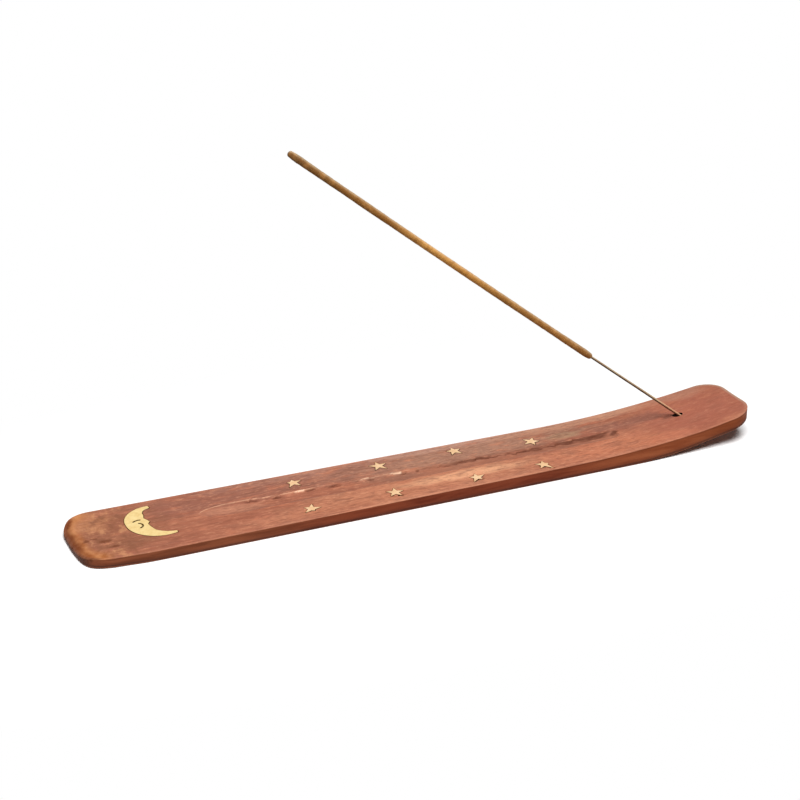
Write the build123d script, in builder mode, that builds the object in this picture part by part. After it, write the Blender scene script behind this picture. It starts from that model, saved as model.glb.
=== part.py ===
from build123d import *
import os
from math import atan2, cos, degrees, pi, radians, sin, sqrt

# Incense stick holder: a hardwood ash catcher with a turned-up tip, brass inlays let into its top,
# and an incense stick that stands in a slanted hole. Millimetres, +Z up, +X towards the tip end,
# -Y towards the viewer. The origin is on the table, under the middle of the board.

# Board: plan
board_length = 254.0
foot_width = 36.3
tip_width = 31.7
foot_corner_radius = 11.8
tip_corner_radius = 10.1

# Board: side view
foot_thickness = 3.7
bend_thickness = 4.9
top_bend_run = 77.0
under_bend_run = 53.9
under_bend_radius = 143.0
tip_angle = 11.7
tip_thickness = 3.9

# Board: edges, sanded down further at the foot end
foot_ease_run = 4.2
foot_ease_drop = 1.5
rim_round = 0.4

# Ash groove: wider and shallower towards the foot, and slightly out of line with the board
groove_start = 45.0
groove_end = 204.5
groove_foot_width = 8.3
groove_tip_width = 5.6
groove_foot_depth = 1.1
groove_tip_depth = 1.5
groove_foot_fade = 14.0
groove_tip_fade = 3.2
groove_foot_across = 0.8
groove_tip_across = -0.8

# Stick hole
hole_setback = 24.1
hole_diameter = 2.5
hole_depth = 4.4
stick_angle = 38.3

# Brass inlays
inlay_thickness = 0.9
inlay_gap = 0.2
engraving_depth = 0.3
engraving_width = 0.7

# Crescent moon: outline points are shares of its outer radius, from the centre of the outer curve,
# first towards the open side and then along the chord between the tips
moon_radius = 11.2
moon_from_foot = 30.8
moon_across = 1.9
moon_turn = 11.7
moon_tip_round = 0.45
moon_upper_back_share = (-0.486, 0.953)
moon_back_share = (-0.926, 0.292)
moon_lower_back_share = (-0.735, -0.577)
moon_upper_end_shares = ((0.187, 0.905), (0.210, 1.060))
moon_lower_end_shares = ((0.166, -0.937), (0.191, -0.837))
moon_forehead_share = (-0.051, 0.854)
moon_temple_share = (-0.179, 0.611)
moon_brow_share = (-0.271, 0.416)
moon_nose_tip_share = (-0.213, 0.140)
moon_nose_base_share = (-0.324, 0.021)
moon_cheek_share = (-0.330, -0.187)
moon_jaw_share = (-0.303, -0.452)
moon_horn_share = (-0.153, -0.652)
moon_eyebrow_shares = ((-0.639, 0.369), (-0.519, 0.401), (-0.418, 0.380))
moon_eye_shares = ((-0.541, 0.203), (-0.486, 0.051), (-0.623, -0.081))

# Stars: each is cut and set by hand, so its place, its turn and the reach of its arms are its own.
# A place is a share of the board's length from the foot end, and a share of half its width there.
# An arm is a share of the star's radius, counted from the star's turn.
star_radius = 3.05
star_waist_share = 0.43
star_place_shares = {
    "far": ((0.324, 0.603), (0.451, 0.631), (0.567, 0.656), (0.681, 0.422)),
    "near": ((0.320, -0.594), (0.441, -0.613), (0.562, -0.674), (0.664, -0.705)),
}
star_turns = {
    "far": (14.5, 16.0, 18.0, 56.0),
    "near": (-2.0, 5.5, 14.5, 8.5),
}
star_arm_shares = {
    "far": (
        (1.05, 0.75, 0.68, 1.20, 1.10),
        (1.06, 1.00, 1.14, 1.15, 1.25),
        (0.94, 0.88, 0.88, 1.07, 1.12),
        (1.00, 1.10, 1.10, 1.03, 0.99),
    ),
    "near": (
        (1.16, 1.12, 0.90, 1.14, 0.58),
        (1.05, 1.06, 1.04, 1.09, 1.10),
        (1.09, 0.86, 0.86, 1.22, 0.76),
        (0.68, 0.90, 1.01, 1.03, 1.45),
    ),
}

# Incense stick
core_diameter = 0.95
bare_length = 47.7
paste_length = 143.7
paste_foot_diameter = 2.65
paste_mid_diameter = 2.4
paste_tip_diameter = 2.65
paste_flare = 16.0
paste_foot_round = 0.9
paste_tip_round = 1.0
paste_cap = 3.0
paste_bond_gap = 0.02

# Cutting solids run past the faces that they cut by this much
overrun = 0.5

# Reference heights and places that follow from the sizes above
foot_x = -board_length / 2
tip_x = board_length / 2
top_bend_x = tip_x - top_bend_run
under_bend_x = tip_x - under_bend_run
top_slope = degrees(atan2(bend_thickness - foot_thickness, top_bend_x - foot_x))
top_direction = Vector(cos(radians(top_slope)), 0, sin(radians(top_slope)))
top_normal = top_direction.rotate(Axis.Y, -90)
top_plane = Plane(origin=(foot_x, 0, foot_thickness), x_dir=top_direction, z_dir=top_normal)

under_arc_run = under_bend_radius * sin(radians(tip_angle))
under_arc_rise = under_bend_radius * (1 - cos(radians(tip_angle)))
under_straight_run = (under_bend_run - under_arc_run) / cos(radians(tip_angle))
under_tip_rise = under_arc_rise + under_straight_run * sin(radians(tip_angle))
under_end_run = under_straight_run + overrun
tip_top = under_tip_rise + tip_thickness

# The top's bend is one arc, tangent to the sloping flat, that ends at the tip's upper edge
bend_chord = Vector(tip_x - top_bend_x, 0, tip_top - bend_thickness)
top_bend_radius = bend_chord.length**2 / (2 * bend_chord.dot(top_normal))


def half_width_at(along):
    """Half the board's width at a distance from the foot end."""
    return (foot_width + (tip_width - foot_width) * along / board_length) / 2


def bend_rise_at(along):
    """How far the top has risen above its sloping flat, at a distance from the foot end."""
    past_bend = max(along - (top_bend_x - foot_x), 0)
    return top_bend_radius - sqrt(top_bend_radius**2 - past_bend**2)


def top_height_at(along):
    """Height of the top above the table, at a distance from the foot end."""
    return foot_thickness + along * sin(radians(top_slope)) / cos(radians(top_slope)) + bend_rise_at(along)


def moon_point(share):
    """A point of the crescent, from its shares of the outer radius."""
    return (share[0] * moon_radius, share[1] * moon_radius)


def star_outline(arm_shares):
    """A star about its own centre, with an arm for each share of its radius."""
    with BuildSketch() as outline:
        with BuildLine():
            corners = []
            half_turn = pi / len(arm_shares)
            for count, arm_share in enumerate(arm_shares):
                for reach_share, turn in ((arm_share, 2 * count), (star_waist_share, 2 * count + 1)):
                    reach = star_radius * reach_share
                    corners.append((reach * cos(turn * half_turn), reach * sin(turn * half_turn)))
            Polyline(*corners, close=True)
        make_face()
    return outline.sketch


def moon_outline():
    """The crescent about the centre of its outer curve, with a face in profile on its inner side."""
    upper_inner, upper_outer = [moon_point(share) for share in moon_upper_end_shares]
    lower_outer, lower_inner = [moon_point(share) for share in moon_lower_end_shares]
    back = moon_point(moon_back_share)
    temple = moon_point(moon_temple_share)
    brow = moon_point(moon_brow_share)
    nose_tip = moon_point(moon_nose_tip_share)
    nose_base = moon_point(moon_nose_base_share)
    jaw = moon_point(moon_jaw_share)
    with BuildSketch() as outline:
        with BuildLine():
            ThreePointArc(upper_outer, moon_point(moon_upper_back_share), back)
            ThreePointArc(back, moon_point(moon_lower_back_share), lower_outer)
            Line(lower_outer, lower_inner)
            ThreePointArc(lower_inner, moon_point(moon_horn_share), jaw)
            ThreePointArc(jaw, moon_point(moon_cheek_share), nose_base)
            Polyline(nose_base, nose_tip, brow, temple)
            ThreePointArc(temple, moon_point(moon_forehead_share), upper_inner)
            Line(upper_inner, upper_outer)
        make_face()
        ends = [upper_inner, upper_outer, lower_outer, lower_inner]
        fillet([outline.vertices().sort_by_distance(end)[0] for end in ends], moon_tip_round)
    return outline.sketch


def moon_strokes():
    """The engraved eyebrow and closed eye, in the crescent's own place."""
    with BuildSketch() as strokes:
        for shares in (moon_eyebrow_shares, moon_eye_shares):
            stroke = ThreePointArc(*[moon_point(share) for share in shares], mode=Mode.PRIVATE)
            SlotArc(stroke, engraving_width)
    return strokes.sketch


moon_shape = moon_outline()
star_places = {}
star_shapes = {}
for row, places in star_place_shares.items():
    for count, (along_share, across_share) in enumerate(places):
        name = f"star_inlay_{row}_{count + 1}"
        along = along_share * board_length
        across = across_share * half_width_at(along)
        star_places[name] = Location((along, across), star_turns[row][count])
        star_shapes[name] = star_outline(star_arm_shares[row][count])
moon_place = Location((moon_from_foot, moon_across), moon_turn)
inlay_floor = top_plane.offset(-inlay_thickness)

# Ash groove: a long round-bottomed cut, turned about an axis above the board so that it narrows
# towards the tip, and fades out at the foot in a longer run than at the tip
groove_turn = degrees(atan2(groove_tip_across - groove_foot_across, groove_end - groove_start))
groove_plane = Plane(top_plane.location * Location((groove_start, groove_foot_across), groove_turn))
groove_section = Plane(origin=groove_plane.origin, x_dir=groove_plane.x_dir, z_dir=-groove_plane.y_dir)
groove_run = sqrt((groove_end - groove_start) ** 2 + (groove_tip_across - groove_foot_across) ** 2)
groove_foot_radius = (groove_foot_width**2 / 4 + groove_foot_depth**2) / (2 * groove_foot_depth)
groove_tip_radius = (groove_tip_width**2 / 4 + groove_tip_depth**2) / (2 * groove_tip_depth)
groove_tip_level = bend_rise_at(groove_end)
groove_axis_foot = (0, groove_foot_radius - groove_foot_depth)
groove_axis_tip = (groove_run, groove_tip_level + groove_tip_radius - groove_tip_depth)
groove_axis_start = groove_section.from_local_coords(groove_axis_foot)
groove_axis_end = groove_section.from_local_coords(groove_axis_tip)
groove_axis = Axis(groove_axis_start, groove_axis_end - groove_axis_start)

with BuildPart() as groove_cutter:
    with BuildSketch(groove_section):
        with BuildLine():
            floor = Line(
                (groove_foot_fade, -groove_foot_depth),
                (groove_run - groove_tip_fade, groove_tip_level - groove_tip_depth),
            )
            TangentArc(floor @ 0, (0, 0), tangent=-(floor % 0))
            TangentArc(floor @ 1, (groove_run, groove_tip_level), tangent=floor % 1)
            Polyline((0, 0), groove_axis_foot, groove_axis_tip, (groove_run, groove_tip_level))
        make_face()
    revolve(axis=groove_axis)

# Stick hole and stick: one line, out of the top and back over the groove
hole_along = board_length - hole_setback
hole_mouth = Vector(foot_x + hole_along, 0, top_height_at(hole_along))
stick_direction = Vector(-cos(radians(stick_angle)), 0, sin(radians(stick_angle)))
mouth_plane = Plane(origin=hole_mouth, x_dir=(0, 1, 0), z_dir=stick_direction)
seat_plane = mouth_plane.offset(-hole_depth)
stick_section = Plane(origin=hole_mouth, x_dir=stick_direction, z_dir=(0, -1, 0))
stick_axis = Axis(hole_mouth, stick_direction)

with BuildPart() as board:
    # Side view, run past both ends: a flat underside that turns up near the tip, and a top that is
    # eased at the foot, rises slowly and then bends up
    with BuildSketch(Plane.XZ):
        with BuildLine():
            ease_start = top_plane.from_local_coords((foot_ease_run, 0, 0))
            top_flat = Line((ease_start.X, ease_start.Z), (top_bend_x, bend_thickness))
            top_bend = TangentArc(top_flat @ 1, (tip_x, tip_top), tangent=top_flat % 1)
            top_end = PolarLine(top_bend @ 1, overrun, direction=top_bend % 1)
            foot_edge = (foot_x, foot_thickness - foot_ease_drop)
            foot_ease = TangentArc(top_flat @ 0, foot_edge, tangent=-(top_flat % 0))
            foot_end = PolarLine(foot_ease @ 1, overrun, direction=foot_ease % 1)
            underside = Line(((foot_end @ 1).X, 0), (under_bend_x, 0))
            under_bend = JernArc(underside @ 1, underside % 1, under_bend_radius, tip_angle)
            under_end = PolarLine(under_bend @ 1, under_end_run, direction=under_bend % 1)
            Line(foot_end @ 1, underside @ 0)
            Line(top_end @ 1, under_end @ 1)
        make_face()
    extrude(amount=foot_width, both=True)
    # Plan: narrows towards the tip, with rounded corners
    with BuildSketch() as plan:
        with BuildLine():
            Polyline(
                (foot_x, -foot_width / 2),
                (tip_x, -tip_width / 2),
                (tip_x, tip_width / 2),
                (foot_x, foot_width / 2),
                close=True,
            )
        make_face()
        fillet(plan.vertices().group_by(Axis.X)[0], foot_corner_radius)
        fillet(plan.vertices().group_by(Axis.X)[-1], tip_corner_radius)
    extrude(amount=tip_top + overrun, mode=Mode.INTERSECT)
    # Rounded rim, above and below: from the foot end's two edges it runs on all the way round
    rim = board.edges().filter_by(Axis.Y).group_by(Axis.X)[0]
    fillet(rim, rim_round)
    add(groove_cutter.part, mode=Mode.SUBTRACT)
    # Pockets for the inlays
    with BuildSketch(inlay_floor):
        for name, place in star_places.items():
            with Locations(place):
                add(offset(star_shapes[name], inlay_gap, mode=Mode.PRIVATE))
        with Locations(moon_place):
            add(offset(moon_shape, inlay_gap, mode=Mode.PRIVATE))
    extrude(amount=inlay_thickness + overrun, mode=Mode.SUBTRACT)
    # Slanted stick hole
    with BuildSketch(seat_plane):
        Circle(hole_diameter / 2)
    extrude(amount=hole_depth + hole_diameter + overrun, mode=Mode.SUBTRACT)

with BuildPart() as moon:
    with BuildSketch(inlay_floor):
        with Locations(moon_place):
            add(moon_shape)
    extrude(amount=inlay_thickness)
    with BuildSketch(top_plane):
        with Locations(moon_place):
            add(moon_strokes())
    extrude(amount=-engraving_depth, mode=Mode.SUBTRACT)

stars = {}
for name, place in star_places.items():
    with BuildPart() as star:
        with BuildSketch(inlay_floor):
            with Locations(place):
                add(star_shapes[name])
        extrude(amount=inlay_thickness)
    stars[name] = star

with BuildPart() as core:
    with BuildSketch(seat_plane):
        Circle(core_diameter / 2)
    extrude(amount=hole_depth + bare_length + paste_length - paste_cap)

with BuildPart() as paste:
    # Half section along the stick: an even middle, and a thicker rounded end at the foot and at the tip
    with BuildSketch(stick_section) as half_section:
        with BuildLine():
            paste_end = bare_length + paste_length
            Polyline(
                (bare_length, 0),
                (bare_length, paste_foot_diameter / 2),
                (bare_length + paste_flare, paste_mid_diameter / 2),
                (paste_end - paste_flare, paste_mid_diameter / 2),
                (paste_end, paste_tip_diameter / 2),
                (paste_end, 0),
                close=True,
            )
        make_face()
        foot_corner = half_section.vertices().group_by(stick_axis)[0].sort_by_distance(hole_mouth)[-1]
        fillet(foot_corner, paste_foot_round)
        tip_corner = half_section.vertices().group_by(stick_axis)[-1].sort_by_distance(hole_mouth)[-1]
        fillet(tip_corner, paste_tip_round)
    revolve(axis=stick_axis)
    with BuildSketch(mouth_plane):
        Circle(core_diameter / 2 + paste_bond_gap)
    extrude(amount=bare_length + paste_length - paste_cap + paste_bond_gap, mode=Mode.SUBTRACT)

pieces = {"board": board, "crescent_moon_inlay": moon, **stars, "bamboo_core": core, "incense_paste": paste}
os.makedirs("parts", exist_ok=True)
for name, piece in pieces.items():
    piece.part.label = name
    export_step(piece.part, f"parts/{name}.step")
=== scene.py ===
from math import atan2, cos, hypot, pi, radians, sin, tan

import bpy
import numpy as np
from mathutils import Euler, Matrix, Vector, kdtree
from mathutils.geometry import delaunay_2d_cdt


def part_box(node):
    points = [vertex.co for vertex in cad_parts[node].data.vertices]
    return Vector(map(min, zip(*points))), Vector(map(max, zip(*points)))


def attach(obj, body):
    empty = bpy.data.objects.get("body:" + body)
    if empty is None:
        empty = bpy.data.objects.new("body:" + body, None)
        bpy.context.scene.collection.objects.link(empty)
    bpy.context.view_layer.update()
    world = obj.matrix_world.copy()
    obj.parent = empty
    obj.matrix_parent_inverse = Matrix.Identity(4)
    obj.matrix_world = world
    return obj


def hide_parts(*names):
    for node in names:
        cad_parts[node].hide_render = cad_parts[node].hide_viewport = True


# Incense stick holder: a reddish hardwood board with a turned-up tip, an ash groove with a torn far
# lip, brass inlays, and an incense stick in a slanted hole. Sizes below are in millimetres, in the
# CAD model's frame: +X towards the tip, -Y towards the viewer, +Z up, the table at 0.

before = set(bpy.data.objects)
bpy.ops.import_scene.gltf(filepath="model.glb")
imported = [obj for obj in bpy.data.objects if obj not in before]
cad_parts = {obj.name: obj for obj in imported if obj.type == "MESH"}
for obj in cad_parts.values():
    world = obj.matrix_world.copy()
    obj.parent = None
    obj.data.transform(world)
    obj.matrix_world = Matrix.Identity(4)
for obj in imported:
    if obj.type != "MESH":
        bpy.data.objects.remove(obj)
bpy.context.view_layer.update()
MM = 0.001

# Board: its plan, thickness and bend follow the CAD model
BOARD_LOW, BOARD_HIGH = [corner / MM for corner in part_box("board")]
FOOT_X, TIP_X = BOARD_LOW.x, BOARD_HIGH.x
BOARD_LENGTH = TIP_X - FOOT_X
FOOT_HALF_WIDTH, TIP_HALF_WIDTH = 36.28 / 2, 31.7 / 2
SIDE_SLANT = atan2(TIP_HALF_WIDTH - FOOT_HALF_WIDTH, BOARD_LENGTH)
FOOT_THICKNESS, BEND_THICKNESS = 3.7, 4.9
TOP_BEND_RUN, UNDER_BEND_RUN, UNDER_BEND_RADIUS = 77.0, 53.9, 143.0
TIP_ANGLE, TIP_TOP = radians(11.7), 12.03
BEND_ALONG = BOARD_LENGTH - TOP_BEND_RUN
TOP_SLOPE = (BEND_THICKNESS - FOOT_THICKNESS) / BEND_ALONG
TIP_RISE = TIP_TOP - BEND_THICKNESS - TOP_SLOPE * TOP_BEND_RUN

# Board edges, worn by hand and so a little off the CAD model: corner radii are far and near, and a worn
# place has a depth, a start, a deepest point and an end
FOOT_CORNERS, TIP_CORNERS = (10.8, 11.3), (8.8, 10.1)
FOOT_WORN_SIDE, FOOT_WORN_END = (0.9, 2, 9, 24), (0.55, 0, 9, 15)
FOOT_EASE_RUN, FOOT_EASE_DROP = 4.4, 1.9
RIM_ROUND, TIP_EASE = 0.22, 0.3
TIP_EASE_RUN, TIP_EASE_ACROSS = (TIP_X - 9, TIP_X - 1), (-12, -6)
UNDER_ROUND, FOOT_UNDER_ROUND, FOOT_UNDER_RUN = 0.4, 0.9, (4, 34)
TIP_LIFT, TIP_LIFT_RUN, TIP_LIFT_ACROSS = 0.6, (TIP_X - 26, TIP_X - 6), (4, -14)
UNEVEN, UNEVEN_LENGTH, UNEVEN_WIDTH = 0.04, 17, 6
UNEVEN_INSETS, UNEVEN_PAST_INLAY = (0.5, 4), (0.6, 1.4)

# Ash groove, as in the CAD model, at its foot end and its tip end. The stripes on its floor are the scene's
# own: seed, height, length, waves to a millimetre across.
GROOVE_START, GROOVE_END = 45, 204.5
GROOVE_WIDTHS, GROOVE_DEPTHS = (8.3, 5.6), (1.1, 1.5)
GROOVE_FADES, GROOVE_ACROSS = (14, 3.2), (0.8, -0.8)
GROOVE_RUN, GROOVE_SHIFT = GROOVE_END - GROOVE_START, GROOVE_ACROSS[1] - GROOVE_ACROSS[0]
GROOVE_LENGTH, GROOVE_TURN = hypot(GROOVE_RUN, GROOVE_SHIFT), atan2(GROOVE_SHIFT, GROOVE_RUN)
GROOVE_STRIPES, STRIPED_DEPTHS = ((14, 0.05, 12, 2.2), (15, 0.03, 1.5, 3)), (0.05, 0.5)

# Torn far lip of the groove, in the scene alone: waves are a noise seed, a height and a length
TORN_RUN, TORN_WANDER, SPLINTER_PITCH = ((6, 22), (140, 156)), 0.45, 5.3
LIP_WAVES, LIP_BREAKS = ((11, TORN_WANDER, 9), (12, 0.4 * TORN_WANDER, 2.1)), (13, 0.6, 15)
LIP_WIDTH, LIP_LEAST, LIP_TORN_FROM, LIP_FADE = 0.17, 0.01, 1, (0.4, 1.2)
TORN_STEP, TORN_STEP_RUN, TORN_DEPTH = 0.16, ((0, 0.3), (0.8, 3)), 0.02

# Lifted splinters on the far lip: along, across, length
SPLINTERS = ((82, 3.9, 4.5), (106.2, 3.4, 4), (118, 3.3, 5))
SPLINTER_WIDTH, SPLINTER_RISE, SPLINTER_WAVER, SPLINTER_WAVES = 0.24, 0.16, 0.25, 3
SPLINTER_RUN = (-0.5, -0.2), (0.35, 0.5)
SPLINTER_ROOTS, SPLINTER_DEEPEST = (0.02, 0.3), 0.3

# Pits where fibres broke out below the far lip (along, length, width), and a long ragged crack
PITS = (
    (64.5, 7, 1.1), (74, 6.5, 1.3), (86, 6, 1.2), (95, 10, 1.4), (108.5, 4, 0.9),
    (120.5, 5, 1.2), (126, 2.2, 1.2), (137, 4.5, 0.8), (153, 6, 1), (163.5, 4, 1),
    (171.5, 7, 1.2), (184, 9, 1.4), (198, 8, 1.4),
)
PIT_INSIDE, PIT_DEPTH, PIT_FLOOR, PIT_WAVES = 0.75, 0.2, 0.3, (18, 0.35, 2.3)
CRACK_RUN, CRACK_INSIDE = ((118, 148), (200, 203)), 0.45
CRACK_WIDTH, CRACK_LEAST, CRACK_FLOOR = 0.42, 0.05, 0.4
CRACK_WAVES, CRACK_SWELLS = ((18, 0.3, 5), (20, 0.1, 1.6)), ((22, 0.6, 4.3), (23, 0.3, 1.3))

# Stick hole and stick, as in the CAD model but for wear, blunt ends, grain, ridges and the sag
HOLE_SETBACK, HOLE_RADIUS, HOLE_DEPTH, HOLE_SHADE_DEPTH = 24.1, 1.25, 4.4, 0.08
HOLE_X, HOLE_ALONG = TIP_X - HOLE_SETBACK, BOARD_LENGTH - HOLE_SETBACK
HOLE_WORN, HOLE_WANDER, HOLE_WAVES, HOLE_SIDES = 0.45, 0.04, 7, 40
STICK_ANGLE, STICK_SAG, STICK_CREASE = radians(38.3), 0.4, 70
STICK_DIRECTION = Vector((-cos(STICK_ANGLE), 0, sin(STICK_ANGLE)))
CORE_RADIUS, BARE_LENGTH, PASTE_LENGTH = 0.95 / 2, 47.7, 143.7
CORE_SWELL, CORE_TAPER, CORE_RIDGE, CORE_WAVE, CORE_SIDES = 0.02, 0.04, 0.025, 0.012, 32
FIBRES, FIBRE_LENGTH, SHADED_SKIN_EDGE, SHADED_SKIN_WANDER = 16, 40, (-0.42, 0.05), 0.1
PASTE_END_RADIUS, PASTE_RADIUS, PASTE_FLARE = 2.65 / 2, 2.4 / 2, 16
PASTE_ROUND, PASTE_TAPER, PASTE_TAPER_RUN, PASTE_CAP, PASTE_LEAST = 0.6, 0.35, 4, 3, 0.1
PASTE_SIDES, PASTE_PITCH, PASTE_END_RINGS, PASTE_SKIN_RUN = 28, 0.26, 10, 0.8
# The paste's upper side is marked for a painted highlight
PASTE_WAVE, PASTE_COARSE, PASTE_FINE, LIT_TOP_EDGE = 0.035, 0.028, 0.02, (0.3, 1)

# Inlays: the recess round each is cut by hand, so its edge wanders
INLAYS = sorted(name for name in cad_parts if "inlay" in name)
POCKET_EDGE, POCKET_DEPTH = 0.11, 0.92
MOAT_EDGE, MOAT_WANDER, MOAT_WAVES = 0.18, 0.12, 0.9
# Round each inlay the wood is painted dark: dark filler in the recess, deepened as painted shade
MOAT_SLOPE, MOAT_DEPTH, MOAT_FILL_AND_SHADE_REACH, MOAT_INSIDE = 0.1, 0.25, 0.12, 0.4
UPRIGHT, ON_TOP = 0.9, 0.05

# Mesh of the board: insets of the rings along its edge, pitches, bands of finer points, least gaps
RING_INSETS = (0, 0.04, 0.1, 0.18, 0.28, 0.42, 0.6, 0.85, 1.2, 1.8, 2.6, 3.4, 4.2)
UNDER_INSETS, WALL_SHARES = RING_INSETS[1:10], (0.04, 0.2, 0.4, 0.6, 0.8, 1)
EDGE_PITCH, COARSE_PITCH, FINE_PITCH = 0.7, 4, 0.12
BODY_PITCH, UNDER_PITCH, GROOVE_PITCH = (1.3, 1.1), (2.6, 2.2), (0.55, 0.2)
LIP_PITCH, INLAY_PITCH = (0.45, 0.09), (0.15, 0.13)
GROOVE_MARGIN, GROOVE_REACH, GROOVE_BAND, LIP_BAND = 1, 5.8, 5.2, 1.1
INLAY_MARGIN, INLAY_MIDDLE, INLAY_BAND, INLAY_CLEAR = 1, 0.2, 0.6, 0.62
RING_GAP, MOUTH_GAP, UNDER_GAP, MIDDLE_INSET, BOARD_CREASE = 0.4, 0.12, 2.2, 9, 48
INLAY_NEAR, MERGE = 2, 1e-7

# Camera, fitted to the photograph: its place, how far it looks down and to the side, and its lens
CAMERA_PLACE = Vector((-257.31, -584.46, 319.74))
CAMERA_DOWN, CAMERA_ASIDE = radians(24.2326), radians(23.0429)
SENSOR, LENS = 36, 91.015

# Floor and light, in metres
FLOOR_SIZE, FLOOR_LIFT = 6.0, 0.004
FLOOR_FADE, FLOOR_SQUEEZE = (0.06, 0.12), (0.4, 1, 0)
AMBIENT, WHITE, GREY = 0.06, (1, 1, 1, 1), (0.5, 0.5, 0.5, 1)
KEY_POWER, KEY_SIZE, KEY_PLACE = 21.8, 0.66, Vector((-0.09, -0.54, 1.15))


def ripple(seed, x, y=0.0):
    """Smooth seeded noise from -1 to 1 over a plane, one cell to a unit."""
    size = 64
    table = np.random.default_rng(seed).uniform(-1, 1, (size, size))
    x, y = np.broadcast_arrays(np.asarray(x, float), np.asarray(y, float))
    column, row = np.floor(x).astype(int), np.floor(y).astype(int)
    u, v = x - column, y - row
    u, v = u * u * (3 - 2 * u), v * v * (3 - 2 * v)

    def between_rows(column):
        return table[row % size, column % size] * (1 - v) + table[(row + 1) % size, column % size] * v

    return between_rows(column) * (1 - u) + between_rows(column + 1) * u


def ripples(along, *waves):
    """Noises along a line, added up."""
    return sum(height * ripple(seed, along / length) for seed, height, length in waves)


def step(low, high, value):
    """A smooth step from 0 at low to 1 at high."""
    share = np.clip((np.asarray(value, float) - low) / (high - low), 0, 1)
    return share * share * (3 - 2 * share)


def plateau(starts, ends, value):
    """A smooth step up over the starts and down over the ends."""
    return step(*starts, value) * (1 - step(*ends, value))


def hump(value, height, start, top, end):
    """A smooth rise from start to top and fall to end."""
    return height * step(start, top, value) * (1 - step(top, end, value))


def rounded(distance, radius):
    """Drop of a rounded edge, at a distance in from it."""
    inside = np.clip(radius - distance, 0, radius)
    return radius - np.sqrt(radius**2 - inside**2)


def eased(distance, run, drop):
    """Drop of an arc at a distance in from its end: all of the drop there, none from the run on."""
    radius = (run**2 + drop**2) / (2 * drop)
    return rounded(distance + radius - run, radius)


# Board surfaces


def bend_rise(along):
    """Rise of the top above its sloping flat, at a distance from the foot end."""
    return eased(BOARD_LENGTH - along, TOP_BEND_RUN, TIP_RISE)


def top_height(x):
    """Height of the plain top above the table."""
    along = x - FOOT_X
    return FOOT_THICKNESS + TOP_SLOPE * along + bend_rise(along)


def under_height(x):
    """Height of the underside above the table."""
    past = np.maximum(x - (TIP_X - UNDER_BEND_RUN), 0)
    arc_run = UNDER_BEND_RADIUS * sin(TIP_ANGLE)
    arc = rounded(UNDER_BEND_RADIUS - np.minimum(past, arc_run), UNDER_BEND_RADIUS)
    return arc + np.maximum(past - arc_run, 0) * tan(TIP_ANGLE)


def rim_drop(x, y, inset):
    """Drop of the rim: crisp along the sides, softer round the tip's far part."""
    return rounded(inset, RIM_ROUND + TIP_EASE * step(*TIP_EASE_RUN, x) * step(*TIP_EASE_ACROSS, y))


def tip_lift(x, y):
    """Rise of the tip's near corner above the rest of the tip."""
    return TIP_LIFT * step(*TIP_LIFT_RUN, x) * step(*TIP_LIFT_ACROSS, y)


def under_round(x):
    """Radius of the underside's edge, larger by the worn foot."""
    return UNDER_ROUND + (FOOT_UNDER_ROUND - UNDER_ROUND) * (1 - step(*FOOT_UNDER_RUN, x - FOOT_X))


def corner_centre(x, corner):
    """Centre of a plan corner that touches the slanted side."""
    return x, FOOT_HALF_WIDTH + (x - FOOT_X) * tan(SIDE_SLANT) - corner / cos(SIDE_SLANT)


def corner_arc(centre, radius, inset, start, end, pitch):
    """Points of a plan corner between two turns."""
    turns = np.linspace(start, end, int(radius * abs(end - start) / pitch) + 2)
    reach = radius - inset
    return np.stack([centre[0] + reach * np.cos(turns), centre[1] + reach * np.sin(turns)], 1)


def straight_run(start, end, length, pitch):
    """Points between two ends, without the ends."""
    shares = np.linspace(0, 1, int(length / pitch) + 2)[1:-1, None]
    return start + (end - start) * shares


def outline_half(side, inset, pitch):
    """One long side of the plan with its corners: 0 is the far side, 1 the worn near one."""
    foot_corner, tip_corner = FOOT_CORNERS[side], TIP_CORNERS[side]
    foot_centre = corner_centre(FOOT_X + foot_corner, foot_corner)
    tip_centre = corner_centre(TIP_X - tip_corner, tip_corner)
    square = pi / 2 + SIDE_SLANT
    foot_arc = corner_arc(foot_centre, foot_corner, inset, pi, square, pitch)
    tip_arc = corner_arc(tip_centre, tip_corner, inset, square, 0, pitch)
    ring = np.vstack([
        straight_run(np.array((FOOT_X + inset, 0.0)), foot_arc[0], foot_centre[1], pitch),
        foot_arc,
        straight_run(foot_arc[-1], tip_arc[0], BOARD_LENGTH - foot_corner - tip_corner, pitch),
        tip_arc,
        straight_run(tip_arc[-1], np.array((TIP_X - inset, 0.0)), tip_centre[1], pitch),
    ])
    if side == 1:
        along, across = ring[:, 0] - FOOT_X, ring[:, 1]
        by_end = 1 - step(FOOT_EASE_RUN, 2 * FOOT_EASE_RUN, along)
        worn = hump(across, *FOOT_WORN_END) * by_end, -hump(along, *FOOT_WORN_SIDE)
        ring = ring + np.stack(worn, 1)
    return ring


def board_outline(inset, pitch=EDGE_PITCH):
    """The plan as a closed ring, with the same count of points at every inset."""
    far, near = [outline_half(side, inset, pitch) for side in (0, 1)]
    return np.vstack([far, (TIP_X - inset, 0), near[::-1] * (1, -1), (FOOT_X + inset, 0)])


def groove_frame(x, y):
    """Distance along the groove from its foot end, and across it to the far side."""
    run, rise = x - FOOT_X - GROOVE_START, y - GROOVE_ACROSS[0]
    turn = GROOVE_TURN
    return run * cos(turn) + rise * sin(turn), rise * cos(turn) - run * sin(turn)


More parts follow.
